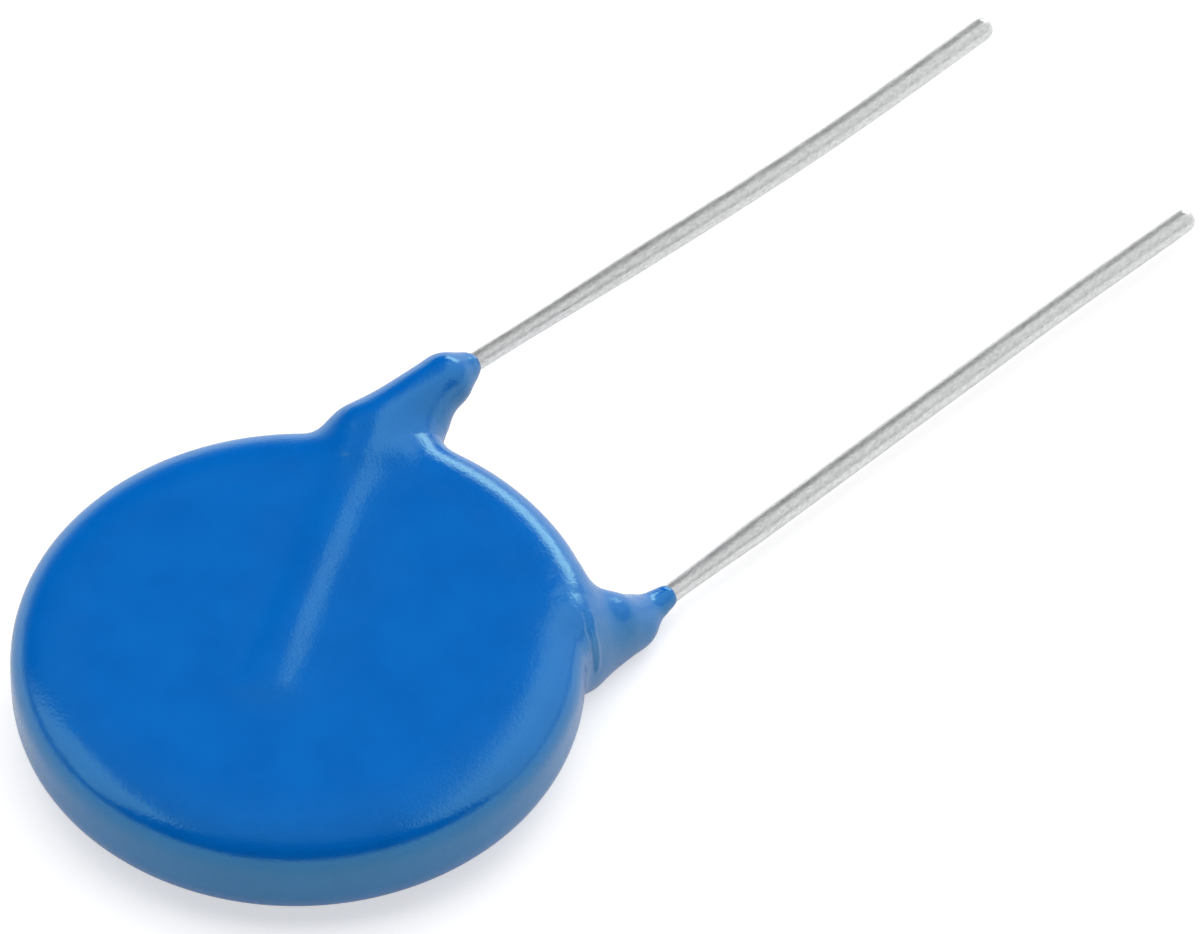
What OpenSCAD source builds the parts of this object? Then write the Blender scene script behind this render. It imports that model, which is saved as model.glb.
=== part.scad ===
// Disc varistor with radial leads and a dipped epoxy coating.
// It lies on its back: the disc's axis is Z and the leads run along +Y.
// The front face is up. Its lead leaves at -X, and the rear face's lead at +X, below it.

/* [Ceramic disc] */
// Diameter of the ceramic disc
disc_d = 20; // [19:0.5:21]
// Thickness of the ceramic disc
disc_t = 2.4; // [2.1:0.1:2.8]
// Diameter of the silver printed on each face
electrode_d = 17.6; // [16.5:0.1:18]

/* [Coating] */
// Coating on each flat face
face_skin = 0.95; // [0.85:0.05:1.05]
// Coating round the edge of the disc
edge_skin = 1; // [0.8:0.05:1.3]
// Coating on top of a buried wire
wire_skin = 0.2; // [0.16:0.02:0.28]
// Thickness of a leg of coating round its wire
leg_d = 2.2; // [2.15:0.05:2.5]
// Length of the front leg of coating, past the disc's edge
front_leg_l = 3.8; // [3.4:0.1:4.4]
// Length of the rear leg of coating, past the disc's edge
rear_leg_l = 3.2; // [3:0.1:3.8]

/* [Leads] */
// Diameter of the bare wire
wire_d = 0.78; // [0.7:0.01:0.85]
// Diameter of the tinned part of each lead
tinned_d = 0.95; // [0.88:0.01:1.05]
// Distance between the two leads where they leave the coating
exit_pitch = 11.8; // [10.5:0.1:12]
// Slant of the wires across the disc, from the way the leads run
wire_slant = 31.5; // [28:0.5:35]
// Free length of the front lead
front_lead_l = 27.6; // [26.5:0.1:32]
// Free length of the rear lead
rear_lead_l = 29; // [27:0.1:34]

/* [Hidden] */
$fn = 64;

ceramic_edge_r = 0.2;
electrode_t = 0.05;
// The solder left under a wire, and the fillet along its sides
solder_film = 0.04;
solder_w = 2.6;
solder_l = 9;
solder_edge = 0.03;
solder_h = solder_film + wire_d * 0.9;
bend_r = 3;

coat_r = disc_d / 2 + edge_skin;
coat_t = disc_t + 2 * face_skin;
wire_r = wire_d / 2;
tinned_r = tinned_d / 2;
// Height of the wires' centre lines over the middle of the disc
wire_z = disc_t / 2 + electrode_t + solder_film + wire_r;

// ---- Run of the wires, each as seen from the face that it is soldered to ----

// Values of one lead: length of its coating leg, free length, turn towards the other lead,
// turn of the tail, and the lengths before the tinning, of its taper, before the bend and of the bend
FRONT = [front_leg_l, front_lead_l, 2.4, -1.6, 2.4, 5.4, 11.8, 11];
REAR = [rear_leg_l, rear_lead_l, 1.3, 0, 0.9, 3.6, 19.6, 4.2];

function heading(angle) = [sin(angle), cos(angle), 0];
function exit_point(lead) = [-exit_pitch / 2, coat_r + lead[0], wire_z];
// The corner between the slanted wire under the coating and the free lead
corner_y = coat_r * 0.82;
function corner_point(lead) =
    exit_point(lead) - heading(lead[2]) * (coat_r + lead[0] - corner_y) / cos(lead[2]);
slanted_l = coat_r * 1.27;
function inner_point(lead) = corner_point(lead) - heading(-wire_slant) * slanted_l;

// The long bend of a free lead, and the far end of its tail
function long_turn(lead) = lead[2] - lead[3];
function long_bend_r(lead) = lead[7] * 180 / PI / long_turn(lead);
function tail_l(lead) = lead[1] - lead[6] - lead[7];
function tail_end(lead) =
    exit_point(lead)
    + heading(lead[2]) * lead[6]
    + heading((lead[2] + lead[3]) / 2) * 2 * long_bend_r(lead) * sin(long_turn(lead) / 2)
    + heading(lead[3]) * tail_l(lead);

// ---- Skin of the coating: the surface where a field of blended distances is nought ----

shoulder_run = 0.6;
shoulder_soft = 1.5;
ridge_soft = 1.2;
leg_soft = 1.2;
web_soft = 0.8;
edge_soft = 1.4;
// The blend lifts the crest over a wire, so the rod inside it is thinner than the crest
ridge_r = 2 * (wire_z + wire_r + wire_skin - ridge_soft / 4) - coat_t / 2 - wire_z;
leg_r = leg_d / 2;
leg_tip_r = wire_r + 0.11;

function clip(t) = min(max(t, 0), 1);
function mix(a, b, t) = a + (b - a) * t;
function ease(t) = let (u = clip(t)) u * u * (3 - 2 * u);
function flip(p) = [-p[0], p[1], -p[2]];

// The smaller of two distances, with the crease between their shapes filled
function soft_min(a, b, soft) =
    let (near = max(soft - abs(a - b), 0) / soft)
    min(a, b) - near * near * soft / 4;

// Distance to a round-ended rod with a radius of its own at each end
function rod(p, a, b, radius_a, radius_b) =
    let (run = b - a, t = clip((p - a) * run / (run * run)))
    norm(p - a - run * t) - mix(radius_a, radius_b, t);

function disc_field(p) =
    let (to_face = coat_t / 2 - abs(p[2]), to_rim = coat_r - norm([p[0], p[1]]))
    -soft_min(to_face, to_rim * shoulder_run, shoulder_soft);

function leg_tip(lead) = exit_point(lead) - heading(lead[2]) * leg_tip_r;

// Distance to a string of rods through a list of centres, each with its radius
string_soft = 0.15;
function string(p, line, i = 0) =
    let (near = rod(p, line[i][0], line[i + 1][0], line[i][1], line[i + 1][1]))
    i + 2 == len(line) ? near : soft_min(near, string(p, line, i + 1), string_soft);

// What covers one wire: a low ridge over its slanted length, which rises at the foot of the leg,
// then the leg as a round finger, then its nose, then a thin neck to the wire's exit.
// A nose is given by the distances behind the exit at which it starts and ends, and its end's radius
FRONT_NOSE = [1.65, 0.85, 0.72];
REAR_NOSE = [2.3, 1.15, 0.58];
rise_l = 3.5;
function behind_exit(lead, l) = exit_point(lead) - heading(lead[2]) * l;
function cover_line(lead, nose) = [
    [inner_point(lead), ridge_r],
    [corner_point(lead) - heading(-wire_slant) * rise_l, ridge_r],
    [corner_point(lead), leg_r],
    [behind_exit(lead, nose[0]), leg_r],
    [behind_exit(lead, nose[1]), nose[2]],
    [leg_tip(lead), leg_tip_r]
];
FRONT_COVER = cover_line(FRONT, FRONT_NOSE);
REAR_COVER = cover_line(REAR, REAR_NOSE);

// The web of coating that hangs from each finger to the edge of the disc. Its values are the distance
// of its end behind the exit, its share of the wire's height, the shifts of its root and of its end
// towards the other leg, and its radius
FRONT_WEB = [3.3, 0.46, 1.3, 0.3, 1.2];
REAR_WEB = [3.4, 0.45, 0, 0, 1.1];
function web_line(lead, web) =
    let (drop = [0, 0, wire_z * (1 - web[1])])
    [
        [corner_point(lead) + [web[2], 0, 0] - drop, web[4]],
        [behind_exit(lead, web[0]) + [web[3], 0, 0] - drop, web[4]]
    ];
FRONT_HANG = web_line(FRONT, FRONT_WEB);
REAR_HANG = web_line(REAR, REAR_WEB);

// The bead of coating along the edge of the disc between the two legs
bead_r = 1.2;
bead_z = 0.3;
function bead_field(p) =
    let (angle = min(max(plan_angle(p), rear_angle), front_angle))
    norm(p - plan_way(angle) * (coat_r - 0.65) - [0, 0, bead_z]) - bead_r;

function field(p) =
    let (
        q = flip(p),
        edge = soft_min(disc_field(p), bead_field(p), edge_soft),
        soft = mix(ridge_soft, leg_soft, ease((p[1] - corner_y) / rise_l + 1)),
        front = soft_min(string(p, FRONT_COVER), string(p, FRONT_HANG), web_soft),
        rear = soft_min(string(q, REAR_COVER), string(q, REAR_HANG), web_soft)
    )
    soft_min(soft_min(edge, front, soft), rear, soft);

// Follows a ray that starts inside the coating out to the skin
function reach(from, way, steps = 18) =
    let (gap = -field(from))
    steps == 0 || gap < 0.0004 ? from : reach(from + way * gap, way, steps - 1);

// The skin is a net of such rays. Anchors lie on a ring inside the rim and along each leg.
// From each one a fan of rays turns from up, through its way out at the side, to down.
ring_r = coat_r - coat_t / 2 - 0.2;
// Where the net's spokes meet on each flat face, clear of the wires' ridges
hub = [0, -coat_r * 0.4, 0];
face_n = 16;
fan_n = 18;
leg_n = 19;
tip_n = 6;
long_n = 68;
short_n = 14;
leg_turn = 45;
leg_swing = 1.09;
turn_arc = 30;

function plan_angle(p) = atan2(p[1], p[0]);
function plan_way(angle) = [cos(angle), sin(angle), 0];
front_angle = plan_angle(corner_point(FRONT));
rear_angle = plan_angle(flip(corner_point(REAR)));

// An anchor of a leg: from the ring out to the wire's corner, then along the wire to the tip
leg_bend = 0.3;
function leg_anchor(lead, s) =
    let (
        corner = corner_point(lead),
        base = plan_way(plan_angle(corner)) * ring_r,
        p = s < leg_bend
            ? mix(base, corner, s / leg_bend)
            : mix(corner, leg_tip(lead), (s - leg_bend) / (1 - leg_bend))
    )
    [p[0], p[1], wire_z * ease(s / 0.9)];
function leg_share(i) = 1 - pow(1 - i / (leg_n - 1), 1.25);
// Lean of the rays on the leg's inner side, which carries them round the edge of the disc
function leg_lean(s) = 45 * sin(180 * min(s / 0.8, 1));

// Near a leg the side rays turn away from it, less and less with the angle from its base
function share_left(angle) = pow(max(1 - angle / turn_arc, 0), 1.6);

// A station is a fan: its anchor, its side's angle, the leans of its up and down rays
// and the number of its anchor
function ring_stations(from, to, count, first) = [
    for (i = [1 : count])
        let (
            angle = mix(from, to, i / (count + 1)),
            turn = leg_turn * (share_left(angle - from) - share_left(to - angle))
        )
        [plan_way(angle) * ring_r, angle + turn, 0, 0, first + i - 1]
];
function leg_stations(lead, is_front, base_angle, first) =
    let (
        out = 90 + (is_front ? -lead[2] : lead[2]),
        anchors = [for (i = [0 : leg_n - 1]) leg_anchor(lead, leg_share(i))],
        station = function (i, angle)
            let (lean = leg_lean(leg_share(i)))
            [is_front ? anchors[i] : flip(anchors[i]), angle, is_front ? 0 : lean,
             is_front ? lean : 0, first + i],
        turn = function (i) pow(leg_share(i), leg_swing)
    )
    concat(
        [for (i = [0 : leg_n - 1]) station(i, mix(base_angle - leg_turn, out - 90, turn(i)))],
        [for (k = [1 : tip_n - 1]) station(leg_n - 1, out - 90 + 180 * k / tip_n)],
        [for (i = [leg_n - 1 : -1 : 0]) station(i, mix(base_angle + leg_turn, out + 90, turn(i)))]
    );

function fan_way(station, f) =
    let (
        b = 90 - 180 * f / fan_n,
        lean = b > 0 ? station[2] : station[3],
        pole = [0, sin(lean), sign(b) * cos(lean)]
    )
    plan_way(station[1]) * cos(b) + pole * abs(sin(b));

function triangles(a, b, c, d) = [
    for (t = [[a, b, c], [a, c, d]])
        if (t[0] != t[1] && t[1] != t[2] && t[2] != t[0]) t
];

module skin() {
    rear_first = leg_n + long_n;
    short_first = rear_first + leg_n;
    anchor_n = short_first + short_n;
    stations = concat(
        leg_stations(FRONT, true, front_angle, 0),
        ring_stations(front_angle, rear_angle + 360, long_n, leg_n),
        leg_stations(REAR, false, rear_angle, rear_first),
        ring_stations(rear_angle, front_angle, short_n, short_first)
    );
    station_n = len(stations);
    // One station for each anchor, and the anchors that make the ring
    by_anchor = [for (a = [0 : anchor_n - 1]) [for (s = stations) if (s[4] == a) s][0]];
    ring = concat(
        [0], [for (i = [0 : long_n - 1]) leg_n + i],
        [rear_first], [for (i = [0 : short_n - 1]) short_first + i]
    );
    ring_n = len(ring);

    tops = [for (s = by_anchor) reach(s[0], fan_way(s, 0))];
    bottoms = [for (s = by_anchor) reach(s[0], fan_way(s, fan_n))];
    sides = [for (s = stations) for (f = [1 : fan_n - 1]) reach(s[0], fan_way(s, f))];
    faces_of = function (z) [
        for (a = ring) for (j = [1 : face_n - 1])
            reach(mix(hub, by_anchor[a][0], j / face_n), [0, 0, z])
    ];
    side_first = 2 * anchor_n;
    up_first = side_first + station_n * (fan_n - 1);
    down_first = up_first + ring_n * (face_n - 1);
    centre = down_first + ring_n * (face_n - 1);

    fan_point = function (i, f)
        let (s = i % station_n, anchor = stations[s][4])
        f == 0 ? anchor
        : f == fan_n ? anchor_n + anchor
        : side_first + s * (fan_n - 1) + f - 1;
    face_point = function (i, j, first, rim, middle)
        let (r = i % ring_n)
        j == 0 ? middle : j == face_n ? rim + ring[r] : first + r * (face_n - 1) + j - 1;
    up_point = function (i, j) face_point(i, j, up_first, 0, centre);
    down_point = function (i, j) face_point(i, j, down_first, anchor_n, centre + 1);
    polyhedron(
        points = concat(
            tops, bottoms, sides, faces_of(1), faces_of(-1),
            [reach(hub, [0, 0, 1]), reach(hub, [0, 0, -1])]
        ),
        faces = concat(
            [for (i = [0 : station_n - 1]) for (f = [0 : fan_n - 1]) each triangles(
                fan_point(i, f), fan_point(i + 1, f), fan_point(i + 1, f + 1), fan_point(i, f + 1))],
            [for (i = [0 : ring_n - 1]) for (j = [0 : face_n - 1]) each triangles(
                up_point(i, j), up_point(i + 1, j), up_point(i + 1, j + 1), up_point(i, j + 1))],
            [for (i = [0 : ring_n - 1]) for (j = [0 : face_n - 1]) each triangles(
                down_point(i, j + 1), down_point(i + 1, j + 1), down_point(i + 1, j), down_point(i, j))]
        )
    );
}

// ---- Placing: the middle of the disc's axis is the modelling origin ----

// The rear wire's ridge and leg are the lowest part of the coating
rest_z = max([
    for (s = [0 : 0.04 : 1])
        let (c = corner_point(REAR), p = s < 0.5
            ? mix(inner_point(REAR), c, s * 2)
            : mix(c, leg_tip(REAR), s * 2 - 1))
        -reach(flip(p), [0, 0, -1])[2]
]);
middle_y = (max(tail_end(FRONT)[1], tail_end(REAR)[1]) - coat_r) / 2;
module placed() {
    translate([0, -middle_y, rest_z]) children();
}
// Turns what is drawn for the front face over to the rear one
module at_rear() {
    rotate([0, 180, 0]) children();
}

// ---- Ceramic, silver and solder ----

module ceramic() {
    r = disc_d / 2;
    flat = disc_t / 2 - ceramic_edge_r;
    rotate_extrude()
        union() {
            translate([0, -disc_t / 2]) square([r - ceramic_edge_r, disc_t]);
            translate([0, -flat]) square([r, 2 * flat]);
            for (z = [-flat, flat])
                translate([r - ceramic_edge_r, z]) circle(r = ceramic_edge_r);
        }
}

module electrode() {
    translate([0, 0, disc_t / 2]) cylinder(d = electrode_d, h = electrode_t, $fn = 128);
}

// Half of the solder's section: a hollow slope from the wire down to the silver
function solder_slope() = [
    for (i = [0 : 8])
        let (x = i / 8)
        [x * solder_w / 2, solder_edge + (solder_h - solder_edge) * pow(1 - x, 2)]
];
module solder_half() {
    polygon(concat([[0, 0]], solder_slope(), [[solder_w / 2, 0]]));
}
// The fillet as if there were no wire in it
module solder_heap(lead) {
    translate([inner_point(lead)[0], inner_point(lead)[1], disc_t / 2 + electrode_t])
        rotate([0, 0, wire_slant]) {
            for (side = [0, 1])
                translate([0, solder_l, 0])
                    rotate([90, 0, 0])
                        linear_extrude(solder_l)
                            mirror([side, 0, 0]) solder_half();
            rotate([0, 0, 180]) rotate_extrude(angle = 180) solder_half();
            translate([0, solder_l, 0]) rotate_extrude(angle = 180) solder_half();
        }
}
module solder(lead) {
    difference() {
        solder_heap(lead);
        wire(lead);
    }
}

// ---- Leads ----

// A straight length runs a little into the bend beside it, and a bend draws the wire thinner
lap = 0.05;
bend_draw = 0.003;

// A round length of lead along +Y, turned from its radius at each distance
module turned(steps) {
    last = steps[len(steps) - 1][0];
    rotate([-90, 0, 0])
        rotate_extrude()
            polygon(concat([[0, steps[0][0]]], [for (s = steps) [s[1], s[0]]], [[0, last]]));
}
// An arc of lead from the origin along +Y, and what follows it
module right_bend(r, section_r, turn) {
    translate([r, 0, 0])
        rotate([0, 0, 180 - turn])
            rotate_extrude(angle = turn) translate([r, 0]) circle(r = section_r - bend_draw);
    translate([r, 0, 0]) rotate([0, 0, -turn]) translate([-r, 0, 0]) children();
}
module left_bend(r, section_r, turn) {
    translate([-r, 0, 0])
        rotate_extrude(angle = turn) translate([r, 0]) circle(r = section_r - bend_draw);
    translate([-r, 0, 0]) rotate([0, 0, turn]) translate([r, 0, 0]) children();
}

module tail(l) {
    rotate([-90, 0, 0])
        rotate_extrude()
            union() {
                translate([0, -lap]) square([tinned_r, l - tinned_r + lap]);
                translate([0, l - tinned_r])
                    intersection() {
                        circle(r = tinned_r);
                        square(tinned_r);
                    }
            }
}

module wire(lead) {
    turn = wire_slant + lead[2];
    cut = bend_r * tan(turn / 2);
    buried = norm(exit_point(lead) - corner_point(lead)) - cut;
    taper = buried + lead[4];
    tinned = taper + lead[5];
    straight_l = buried + lead[6];
    translate(inner_point(lead))
        rotate([0, 0, wire_slant]) {
            turned([[0, wire_r], [slanted_l - cut + lap, wire_r]]);
            translate([0, slanted_l - cut, 0])
                right_bend(bend_r, wire_r, turn) {
                    turned([
                        [-lap, wire_r], [taper, wire_r],
                        [tinned, tinned_r], [straight_l + lap, tinned_r]
                    ]);
                    translate([0, straight_l, 0])
                        left_bend(long_bend_r(lead), tinned_r, long_turn(lead)) tail(tail_l(lead));
                }
        }
}

// ---- Sub-parts ----

module epoxy_coating() {
    color("royalblue")
        placed()
            difference() {
                skin();
                union() {
                    ceramic();
                    electrode();
                    at_rear() electrode();
                    solder_heap(FRONT);
                    at_rear() solder_heap(REAR);
                    wire(FRONT);
                    at_rear() wire(REAR);
                }
            }
}
module ceramic_disc() {
    color("dimgray") placed() ceramic();
}
module front_electrode() {
    color("whitesmoke") placed() electrode();
}
module rear_electrode() {
    color("whitesmoke") placed() at_rear() electrode();
}
module front_solder() {
    color("darkgray") placed() solder(FRONT);
}
module rear_solder() {
    color("darkgray") placed() at_rear() solder(REAR);
}
module front_lead() {
    color("silver") placed() wire(FRONT);
}
module rear_lead() {
    color("silver") placed() at_rear() wire(REAR);
}

epoxy_coating();
ceramic_disc();
front_electrode();
rear_electrode();
front_solder();
rear_solder();
front_lead();
rear_lead();
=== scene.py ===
import bpy
from math import cos, exp, pi, radians, sin
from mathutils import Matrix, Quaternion, Vector


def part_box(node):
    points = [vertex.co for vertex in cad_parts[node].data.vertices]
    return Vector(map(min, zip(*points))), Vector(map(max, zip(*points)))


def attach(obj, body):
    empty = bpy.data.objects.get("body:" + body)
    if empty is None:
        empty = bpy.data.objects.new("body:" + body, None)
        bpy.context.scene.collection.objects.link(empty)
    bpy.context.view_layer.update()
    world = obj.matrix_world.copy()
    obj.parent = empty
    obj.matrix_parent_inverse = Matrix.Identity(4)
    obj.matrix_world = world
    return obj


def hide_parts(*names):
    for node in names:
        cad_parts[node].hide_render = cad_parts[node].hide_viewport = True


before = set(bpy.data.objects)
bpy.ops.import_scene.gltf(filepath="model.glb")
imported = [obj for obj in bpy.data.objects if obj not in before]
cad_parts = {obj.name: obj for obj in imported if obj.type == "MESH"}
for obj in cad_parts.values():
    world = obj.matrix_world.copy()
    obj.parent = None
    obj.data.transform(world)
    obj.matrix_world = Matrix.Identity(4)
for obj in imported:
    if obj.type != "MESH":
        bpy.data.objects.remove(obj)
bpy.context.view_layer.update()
bpy.ops.object.select_all(action="DESELECT")
scene = bpy.context.scene
scene.view_settings.view_transform = "Standard"
mm = 0.001

discLow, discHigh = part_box("ceramic_disc")
discCentre = (Vector(discLow) + Vector(discHigh)) / 2


# A direction as a vector. Azimuth is from +Y toward +X, both angles in degrees.
def towards(azimuth, elevation):
    flat = cos(radians(elevation))
    east = sin(radians(azimuth)) * flat
    north = cos(radians(azimuth)) * flat
    return Vector((east, north, sin(radians(elevation))))


# The camera looks at a point between the disc and the ends of the leads
cameraSettings = {
    "azimuth": 46.27,  # degrees round the part; 0 looks along the leads
    "elevation": 47.92,
    "roll": 0.755,
    "distance": 0.4093,
    "lens": 315.77,
    "sensor": 36,
    "clipStart": 0.01,
    "clipEnd": 20,
    "target": (0.335 * mm, 15.498 * mm, 0),  # from the disc's centre
}


def makeCamera(settings):
    back = towards(180 - settings["azimuth"], settings["elevation"])
    target = discCentre + Vector(settings["target"])
    bpy.ops.object.camera_add(location=target + back * settings["distance"])
    camera = bpy.context.object
    camera.name = "studioCamera"
    camera.rotation_mode = "QUATERNION"
    levelTurn = (-back).to_track_quat("-Z", "Y")
    camera.rotation_quaternion = levelTurn @ Quaternion((0, 0, 1), radians(settings["roll"]))
    camera.data.sensor_width = settings["sensor"]
    camera.data.lens = settings["lens"]
    camera.data.clip_start = settings["clipStart"]
    camera.data.clip_end = settings["clipEnd"]
    scene.camera = camera


def startMaterial(name):
    material = bpy.data.materials.new(name)
    material.use_nodes = True
    nodes, links = material.node_tree.nodes, material.node_tree.links
    return material, nodes, links, nodes["Principled BSDF"]


floorSettings = {
    "radius": 1.5,
    "sides": 96,
    "colour": (0.62, 0.62, 0.62, 1),
    "roughness": 0.9,
    "specular": 0.1,
    "glowColour": (1, 1, 1, 1),
    "shownGlow": 0.6,  # for the camera only, so that the floor reads as white
    "mirroredGlow": 0.3,  # for reflections only
}


def makeFloor(settings):
    bpy.ops.mesh.primitive_circle_add(
        vertices=settings["sides"], radius=settings["radius"], fill_type="NGON")
    floor = bpy.context.object
    floor.name = "paleFloor"
    material, nodes, links, shader = startMaterial("floorPaper")
    shader.inputs["Base Color"].default_value = settings["colour"]
    shader.inputs["Roughness"].default_value = settings["roughness"]
    shader.inputs["Specular IOR Level"].default_value = settings["specular"]
    shader.inputs["Emission Color"].default_value = settings["glowColour"]
    path = nodes.new("ShaderNodeLightPath")
    shown = nodes.new("ShaderNodeMath")
    shown.operation = "MULTIPLY"
    shown.inputs[1].default_value = settings["shownGlow"]
    mirrored = nodes.new("ShaderNodeMath")
    mirrored.operation = "MULTIPLY_ADD"
    mirrored.inputs[1].default_value = settings["mirroredGlow"]
    links.new(path.outputs["Is Camera Ray"], shown.inputs[0])
    links.new(path.outputs["Is Glossy Ray"], mirrored.inputs[0])
    links.new(shown.outputs[0], mirrored.inputs[2])
    links.new(mirrored.outputs[0], shader.inputs["Emission Strength"])
    floor.data.materials.append(material)


worldSettings = {
    # The sky's grey at each height, from the horizon (0) to straight up (1)
    "greys": [(0.0, 1.1), (0.1, 0.8), (0.22, 0.25), (0.36, 0.0)],
    "shownColour": (1, 1, 1, 1),  # for the camera only
}
# The colour sockets of a Mix node, by number because their names repeat
mixFirst, mixSecond, mixResult = 6, 7, 2


def makeWorld(settings):
    world = bpy.data.worlds.new("paleStudio")
    scene.world = world
    world.use_nodes = True
    nodes, links = world.node_tree.nodes, world.node_tree.links
    background = nodes["Background"]
    direction = nodes.new("ShaderNodeTexCoord")
    height = nodes.new("ShaderNodeSeparateXYZ")
    links.new(direction.outputs["Generated"], height.inputs[0])
    sky = nodes.new("ShaderNodeValToRGB")
    stops = sky.color_ramp.elements
    while len(stops) < len(settings["greys"]):
        stops.new(1.0)
    for stop, (position, grey) in zip(stops, settings["greys"]):
        stop.position = position
        stop.color = (grey, grey, grey, 1)
    links.new(height.outputs["Z"], sky.inputs[0])
    path = nodes.new("ShaderNodeLightPath")
    shown = nodes.new("ShaderNodeMix")
    shown.data_type = "RGBA"
    shown.inputs[mixSecond].default_value = settings["shownColour"]
    links.new(path.outputs["Is Camera Ray"], shown.inputs[0])
    links.new(sky.outputs["Color"], shown.inputs[mixFirst])
    links.new(shown.outputs[mixResult], background.inputs["Color"])


# Sizes and distances are in metres. Brightness 1 is a white surface in full light.
softboxes = {
    "rightBox": {
        "azimuth": 26, "elevation": 42, "distance": 0.5,
        "width": 0.72, "height": 0.48, "brightness": 0.7, "inReflections": True,
    },
    "leftBox": {
        "azimuth": -134, "elevation": 42, "distance": 0.5,
        "width": 0.4, "height": 0.36, "brightness": 0.8, "inReflections": True,
    },
    "backStrip": {
        "azimuth": -26, "elevation": 20, "distance": 0.5,
        "width": 0.28, "height": 0.15, "brightness": 3.0, "inReflections": True,
    },
    "backFill": {
        "azimuth": -46, "elevation": 79, "distance": 0.6,
        "width": 0.8, "height": 0.8, "brightness": 2.05, "inReflections": False,
    },
}


def makeSoftbox(name, settings):
    way = towards(settings["azimuth"], settings["elevation"])
    bpy.ops.object.light_add(type="AREA", location=way * settings["distance"])
    box = bpy.context.object
    box.name = name
    box.rotation_mode = "QUATERNION"
    box.rotation_quaternion = way.to_track_quat("Z", "Y")
    box.data.shape = "RECTANGLE"
    box.data.size = settings["width"]
    box.data.size_y = settings["height"]
    box.data.energy = settings["brightness"] * pi * settings["width"] * settings["height"]
    box.visible_camera = False
    box.visible_glossy = settings["inReflections"]


print("studio")
makeCamera(cameraSettings)
makeFloor(floorSettings)
makeWorld(worldSettings)
for boxName, boxSettings in softboxes.items():
    makeSoftbox(boxName, boxSettings)


# Values that all the finishes share
grainSettings = {
    "patchDetail": 3,
    "grainDetail": 2,
    # The part of a mask, from 0 to 1, over which the colour or the roughness changes
    "colourSpan": (0.35, 0.65),
    "roughnessSpan": (0.3, 0.7),
}


def makeGrainGroup(settings):
    # Soft patches, fine grain and shallow dimples, each at a scale of its own
    group = bpy.data.node_groups.new("surfaceGrain", "ShaderNodeTree")
    group.interface.new_socket("Vector", in_out="INPUT", socket_type="NodeSocketVector")
    for name in ("Patch Scale", "Grain Scale", "Dimple Scale"):
        group.interface.new_socket(name, in_out="INPUT", socket_type="NodeSocketFloat")
    for name in ("Patches", "Grain", "Dimples"):
        group.interface.new_socket(name, in_out="OUTPUT", socket_type="NodeSocketFloat")
    nodes, links = group.nodes, group.links
    start, end = nodes.new("NodeGroupInput"), nodes.new("NodeGroupOutput")
    noises = (
        ("Patch Scale", "Patches", settings["patchDetail"]),
        ("Grain Scale", "Grain", settings["grainDetail"]),
    )
    for scaleName, outName, detail in noises:
        noise = nodes.new("ShaderNodeTexNoise")
        noise.inputs["Detail"].default_value = detail
        links.new(start.outputs["Vector"], noise.inputs["Vector"])
        links.new(start.outputs[scaleName], noise.inputs["Scale"])
        links.new(noise.outputs["Fac"], end.inputs[outName])
    cells = nodes.new("ShaderNodeTexVoronoi")
    cells.feature = "SMOOTH_F1"
    links.new(start.outputs["Vector"], cells.inputs["Vector"])
    links.new(start.outputs["Dimple Scale"], cells.inputs["Scale"])
    links.new(cells.outputs["Distance"], end.inputs["Dimples"])
    return group


grainGroup = makeGrainGroup(grainSettings)


def addGrain(nodes, links, finish):
    place = nodes.new("ShaderNodeTexCoord")
    turned = nodes.new("ShaderNodeMapping")
    turned.inputs["Scale"].default_value = finish.get("stretch", (1, 1, 1))
    links.new(place.outputs["Object"], turned.inputs["Vector"])
    grain = nodes.new("ShaderNodeGroup")
    grain.node_tree = grainGroup
    links.new(turned.outputs["Vector"], grain.inputs["Vector"])
    grain.inputs["Patch Scale"].default_value = 1 / finish["patchSize"]
    grain.inputs["Grain Scale"].default_value = 1 / finish["grainSize"]
    grain.inputs["Dimple Scale"].default_value = 1 / finish["dimpleSize"]
    return grain


def blendColour(nodes, links, mask, low, high):
    ramp = nodes.new("ShaderNodeValToRGB")
    stops = ramp.color_ramp.elements
    for stop, position, colour in zip(stops, grainSettings["colourSpan"], (low, high)):
        stop.position = position
        stop.color = colour
    links.new(mask, ramp.inputs[0])
    return ramp.outputs["Color"]


def blendValue(nodes, links, mask, low, high):
    span = nodes.new("ShaderNodeMapRange")
    span.inputs["From Min"].default_value = grainSettings["roughnessSpan"][0]
    span.inputs["From Max"].default_value = grainSettings["roughnessSpan"][1]
    span.inputs["To Min"].default_value = low
    span.inputs["To Max"].default_value = high
    links.new(mask, span.inputs["Value"])
    return span.outputs["Result"]


def addBumps(nodes, links, shader, layers):
    # Each layer is a height from 0 to 1 and its depth in metres
    normal = None
    for height, depth in layers:
        bump = nodes.new("ShaderNodeBump")
        bump.inputs["Distance"].default_value = depth
        bump.inputs["Strength"].default_value = 1
        links.new(height, bump.inputs["Height"])
        if normal:
            links.new(normal, bump.inputs["Normal"])
        normal = bump.outputs["Normal"]
    links.new(normal, shader.inputs["Normal"])


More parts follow.
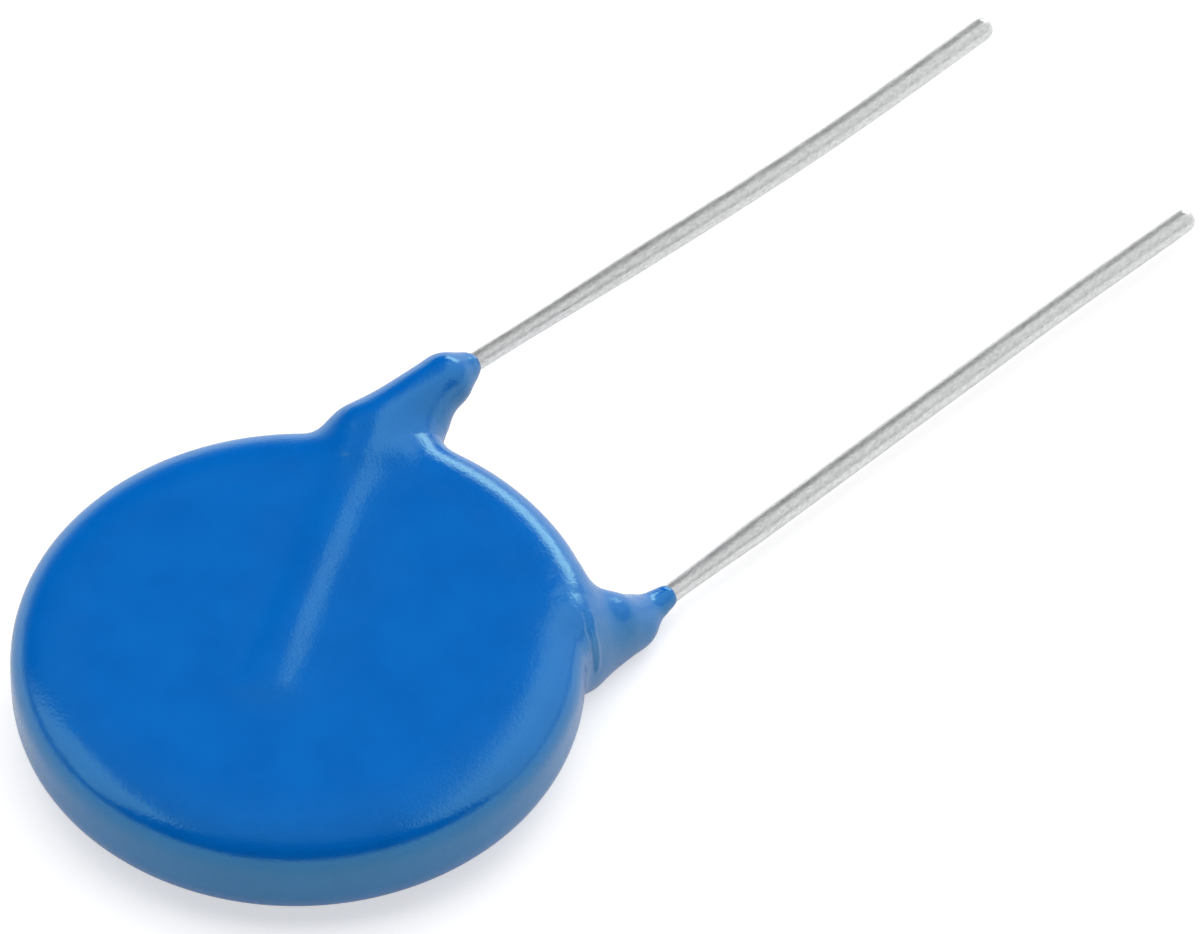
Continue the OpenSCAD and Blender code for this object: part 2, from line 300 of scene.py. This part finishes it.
# In each finish, colourFrom and roughnessFrom name the grain that makes them vary, and shader
# holds what is the same all over the surface
epoxyFinish = {
    "lowColour": (0.0, 0.135, 0.55, 1),
    "highColour": (0.0, 0.147, 0.585, 1),
    "colourFrom": "Patches",
    "lowRoughness": 0.13,
    "highRoughness": 0.18,
    "roughnessFrom": "Grain",
    "shader": {"IOR": 1.6, "Specular IOR Level": 1.0, "Specular Tint": (0.42, 1.0, 0.72, 1)},
    "patchSize": 2.4 * mm,
    "grainSize": 0.11 * mm,
    "dimpleSize": 0.42 * mm,
    "patchDepth": 0.012 * mm,
    "grainDepth": 0.011 * mm,
    "dimpleDepth": 0.005 * mm,
}

wireFinish = {
    "lowColour": (0.75, 0.76, 0.76, 1),
    "highColour": (0.93, 0.94, 0.94, 1),
    "colourFrom": "Grain",
    "lowRoughness": 0.26,
    "highRoughness": 0.42,
    "roughnessFrom": "Patches",
    "shader": {"Metallic": 0.75},
    "patchSize": 0.5 * mm,
    "grainSize": 0.09 * mm,
    "dimpleSize": 0.2 * mm,
    "patchDepth": 0.012 * mm,
    "grainDepth": 0.005 * mm,
    "dimpleDepth": 0.008 * mm,
    "stretch": (1, 0.4, 1),  # the dip coat's grain runs along the wire
}

solderFinish = {
    "lowColour": (0.52, 0.53, 0.54, 1),
    "highColour": (0.68, 0.69, 0.7, 1),
    "colourFrom": "Grain",
    "lowRoughness": 0.18,
    "highRoughness": 0.4,
    "roughnessFrom": "Patches",
    "shader": {"Metallic": 1},
    "patchSize": 0.9 * mm,
    "grainSize": 0.12 * mm,
    "dimpleSize": 0.35 * mm,
    "patchDepth": 0.03 * mm,
    "grainDepth": 0.004 * mm,
    "dimpleDepth": 0.012 * mm,
}

silverFinish = {
    "lowColour": (0.7, 0.69, 0.65, 1),
    "highColour": (0.85, 0.84, 0.8, 1),
    "colourFrom": "Grain",
    "lowRoughness": 0.45,
    "highRoughness": 0.62,
    "roughnessFrom": "Patches",
    "shader": {"Metallic": 0.9},
    "patchSize": 1.6 * mm,
    "grainSize": 0.08 * mm,
    "dimpleSize": 0.18 * mm,
    "patchDepth": 0.01 * mm,
    "grainDepth": 0.006 * mm,
    "dimpleDepth": 0.01 * mm,
}

ceramicFinish = {
    "lowColour": (0.07, 0.082, 0.08, 1),
    "highColour": (0.115, 0.125, 0.12, 1),
    "colourFrom": "Grain",
    "lowRoughness": 0.6,
    "highRoughness": 0.8,
    "roughnessFrom": "Patches",
    "shader": {"Metallic": 0},
    "patchSize": 1.2 * mm,
    "grainSize": 0.06 * mm,
    "dimpleSize": 0.15 * mm,
    "patchDepth": 0.01 * mm,
    "grainDepth": 0.008 * mm,
    "dimpleDepth": 0.012 * mm,
}


def makeMaterial(name, finish):
    material, nodes, links, shader = startMaterial(name)
    grain = addGrain(nodes, links, finish)
    colourMask = grain.outputs[finish["colourFrom"]]
    colour = blendColour(nodes, links, colourMask, finish["lowColour"], finish["highColour"])
    links.new(colour, shader.inputs["Base Color"])
    roughnessMask = grain.outputs[finish["roughnessFrom"]]
    roughness = blendValue(
        nodes, links, roughnessMask, finish["lowRoughness"], finish["highRoughness"])
    links.new(roughness, shader.inputs["Roughness"])
    for socket, value in finish["shader"].items():
        shader.inputs[socket].default_value = value
    addBumps(nodes, links, shader, [
        (grain.outputs["Patches"], finish["patchDepth"]),
        (grain.outputs["Dimples"], finish["dimpleDepth"]),
        (grain.outputs["Grain"], finish["grainDepth"]),
    ])
    return material


coatingSettings = {
    "mergeDistance": 0.0002 * mm,
    "flatAngle": 30,  # two triangles bent by less than this may join into one four-sided face
    "cornerAngle": 40,  # how far that face's corners may be from square
    "sharpAngle": 50,  # edges past this stay sharp, as round the hollow that holds the disc
    "fineness": 1,
    "lineSteps": 8,  # short straight steps between two points of a line
    "fade": 3,  # a line's rise ends at this many times its reach
    # Lines that the coating rises or sinks along, with points in mm from the disc's centre.
    # Each line is laid on the skin. Cuts first split the faces within cutReach of it.
    "lines": {
        "wireRidge": {
            "height": 0.09 * mm,
            "reach": 0.8 * mm,
            "points": [
                (1.3, -2.3, 2.2), (-4.2, 6.6, 2.3), (-5.4, 8.8, 2.7), (-5.8, 10.6, 2.8),
                (-5.9, 13, 2.8),
            ],
        },
        "rearLegCrease": {
            "height": -0.06 * mm,
            "reach": 0.07 * mm,
            "cuts": 3,
            "cutReach": 0.55 * mm,
            "points": [(6.5, 8.9, 1.8), (7.1, 8.5, 1.4), (7.5, 8.4, 0.8), (7.6, 8.4, -0.4)],
        },
        "rearLegBead": {
            "height": 0.04 * mm,
            "reach": 0.12 * mm,
            "points": [(6.6, 9.2, 1.6), (7.2, 8.8, 1.1), (7.5, 8.7, 0.2), (7.6, 8.6, -0.4)],
        },
    },
}


def layLine(coating, points, steps):
    bpy.context.view_layer.update()
    corners = [discCentre + Vector(point) * mm for point in points]
    places = [corners[0]]
    for start, end in zip(corners, corners[1:]):
        places += [start.lerp(end, (step + 1) / steps) for step in range(steps)]
    return [coating.closest_point_on_mesh(place)[1] for place in places]


def distanceTo(place, line):
    gaps = []
    for start, end in zip(line, line[1:]):
        along = end - start
        share = min(1, max(0, (place - start).dot(along) / along.length_squared))
        gaps.append((place - start - along * share).length)
    return min(gaps)


def cutNear(coating, line, settings):
    for face in coating.data.polygons:
        face.select = distanceTo(face.center, line) < settings["cutReach"]
    bpy.ops.object.mode_set(mode="EDIT")
    bpy.ops.mesh.select_mode(type="FACE")
    bpy.ops.mesh.subdivide(number_cuts=settings["cuts"])
    bpy.ops.mesh.select_all(action="DESELECT")
    bpy.ops.object.mode_set(mode="OBJECT")


def raiseAlong(coating, line, settings, fade):
    reach = settings["reach"]
    low = [min(place[axis] for place in line) - fade * reach for axis in range(3)]
    high = [max(place[axis] for place in line) + fade * reach for axis in range(3)]
    moves = []
    for vertex in coating.data.vertices:
        if not all(low[axis] < vertex.co[axis] < high[axis] for axis in range(3)):
            continue
        gap = distanceTo(vertex.co, line)
        if gap < fade * reach:
            rise = settings["height"] * exp(-(gap / reach) ** 2)
            moves.append((vertex, vertex.normal * rise))
    for vertex, move in moves:
        vertex.co += move
    coating.data.update()


def makeCoating(settings, material):
    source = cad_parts["epoxy_coating"]
    coating = source.copy()
    coating.data = source.data.copy()
    scene.collection.objects.link(coating)
    coating.name = "coatingSkin"
    # The copy isn't a CAD node, so it drops the node's labels
    for key in list(coating.keys()):
        del coating[key]
    bpy.ops.object.select_all(action="DESELECT")
    coating.select_set(True)
    bpy.context.view_layer.objects.active = coating
    # Merge the loose triangles into a smooth net of mostly four-sided faces
    bpy.ops.object.mode_set(mode="EDIT")
    bpy.ops.mesh.select_all(action="SELECT")
    bpy.ops.mesh.customdata_custom_splitnormals_clear()
    bpy.ops.mesh.remove_doubles(threshold=settings["mergeDistance"])
    bpy.ops.mesh.tris_convert_to_quads(
        face_threshold=radians(settings["flatAngle"]),
        shape_threshold=radians(settings["cornerAngle"]))
    bpy.ops.mesh.select_all(action="DESELECT")
    bpy.ops.mesh.select_mode(type="EDGE")
    bpy.ops.mesh.edges_select_sharp(sharpness=radians(settings["sharpAngle"]))
    bpy.ops.transform.edge_crease(value=1)
    bpy.ops.object.mode_set(mode="OBJECT")
    finer = coating.modifiers.new("finer", "SUBSURF")
    finer.levels = finer.render_levels = settings["fineness"]
    bpy.ops.object.modifier_apply(modifier=finer.name)
    bpy.ops.object.mode_set(mode="EDIT")
    bpy.ops.mesh.select_all(action="DESELECT")
    bpy.ops.object.mode_set(mode="OBJECT")
    for lineSettings in settings["lines"].values():
        line = layLine(coating, lineSettings["points"], settings["lineSteps"])
        if "cuts" in lineSettings:
            cutNear(coating, line, lineSettings)
        raiseAlong(coating, line, lineSettings, settings["fade"])
    bpy.ops.object.shade_smooth_by_angle(angle=radians(settings["sharpAngle"]))
    coating.data.materials.clear()
    coating.data.materials.append(material)
    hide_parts("epoxy_coating")
    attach(coating, "root")


print("coating")
makeCoating(coatingSettings, makeMaterial("blueEpoxy", epoxyFinish))

print("ceramic, silver, solder and wire")
# Each material goes to the nodes whose names end so
innerMaterials = {
    "ceramic_disc": makeMaterial("zincOxide", ceramicFinish),
    "electrode": makeMaterial("firedSilver", silverFinish),
    "solder": makeMaterial("tinSolder", solderFinish),
    "lead": makeMaterial("tinnedWire", wireFinish),
}
for name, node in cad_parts.items():
    for ending, material in innerMaterials.items():
        if name.endswith(ending):
            node.data.materials.clear()
            node.data.materials.append(material)
